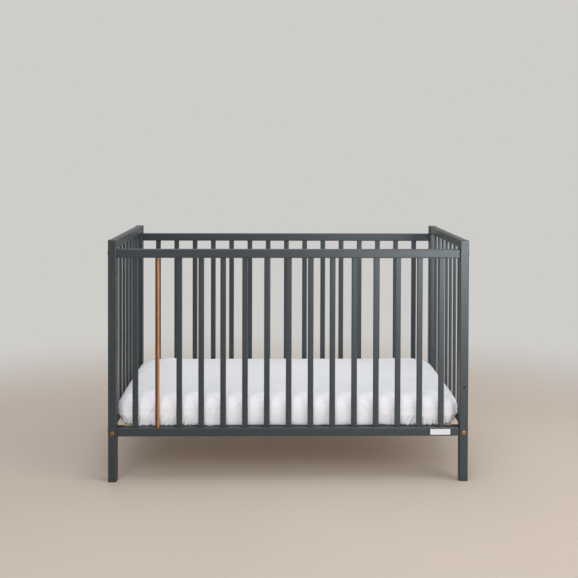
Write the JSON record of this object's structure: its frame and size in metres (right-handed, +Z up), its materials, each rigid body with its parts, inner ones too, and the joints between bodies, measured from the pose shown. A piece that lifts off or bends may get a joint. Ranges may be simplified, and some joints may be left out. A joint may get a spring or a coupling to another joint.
{
  "type": "baby crib",
  "caption": "Barred wooden cot with a slatted base, a foam mattress in a fitted sheet and one round bar in natural wood.",
  "frame": {"origin": "on the floor, at the middle of the four posts", "axes": "+X along the cot's length, +Y from its front panel to its rear one, +Z up"},
  "size_m": [1.2554, 0.6554, 0.84],
  "materials": {
    "painted_beech": "satin",
    "oiled_beech": "satin",
    "raw_pine": "matte",
    "brassed_steel": "satin",
    "enamelled_plate": "gloss",
    "foam": "matte",
    "cotton_sheet": "matte"
  },
  "bodies": {
    "cot_frame": {"front_left_post": "painted_beech", "front_right_post": "painted_beech", "rear_left_post": "painted_beech", "rear_right_post": "painted_beech", "left_end_top_rail": "painted_beech", "left_end_grille": "painted_beech", "right_end_top_rail": "painted_beech", "right_end_grille": "painted_beech", "front_top_rail": "painted_beech", "front_bottom_rail": "painted_beech", "front_bar_01": "painted_beech", "natural_round_bar": "oiled_beech", "front_bar_03": "painted_beech", "front_bar_04": "painted_beech", "front_bar_05": "painted_beech", "front_bar_06": "painted_beech", "front_bar_07": "painted_beech", "front_bar_08": "painted_beech", "front_bar_09": "painted_beech", "front_bar_10": "painted_beech", "front_bar_11": "painted_beech", "front_bar_12": "painted_beech", "front_bar_13": "painted_beech", "front_bar_14": "painted_beech", "front_bar_15": "painted_beech", "rear_top_rail": "painted_beech", "rear_bottom_rail": "painted_beech", "rear_bar_01": "painted_beech", "rear_bar_02": "painted_beech", "rear_bar_03": "painted_beech", "rear_bar_04": "painted_beech", "rear_bar_05": "painted_beech", "rear_bar_06": "painted_beech", "rear_bar_07": "painted_beech", "rear_bar_08": "painted_beech", "rear_bar_09": "painted_beech", "rear_bar_10": "painted_beech", "rear_bar_11": "painted_beech", "rear_bar_12": "painted_beech", "rear_bar_13": "painted_beech", "rear_bar_14": "painted_beech", "rear_bar_15": "painted_beech", "slatted_base": "raw_pine", "front_left_upper_panel_bolt": "brassed_steel", "front_left_lower_panel_bolt": "brassed_steel", "front_left_base_bolt": "brassed_steel", "front_right_upper_panel_bolt": "brassed_steel", "front_right_lower_panel_bolt": "brassed_steel", "front_right_base_bolt": "brassed_steel", "rear_left_upper_panel_bolt": "brassed_steel", "rear_left_lower_panel_bolt": "brassed_steel", "rear_left_base_bolt": "brassed_steel", "rear_right_upper_panel_bolt": "brassed_steel", "rear_right_lower_panel_bolt": "brassed_steel", "rear_right_base_bolt": "brassed_steel", "name_plate": "enamelled_plate"},
    "mattress": {"mattress_core": "foam", "fitted_sheet": "cotton_sheet"}
  },
  "joints": [
    {"name": "mattress_lift", "type": "slide", "parent": "cot_frame", "child": "mattress", "axis": [0, 0, 1], "range_m": [0, 0.66]}
  ]
}
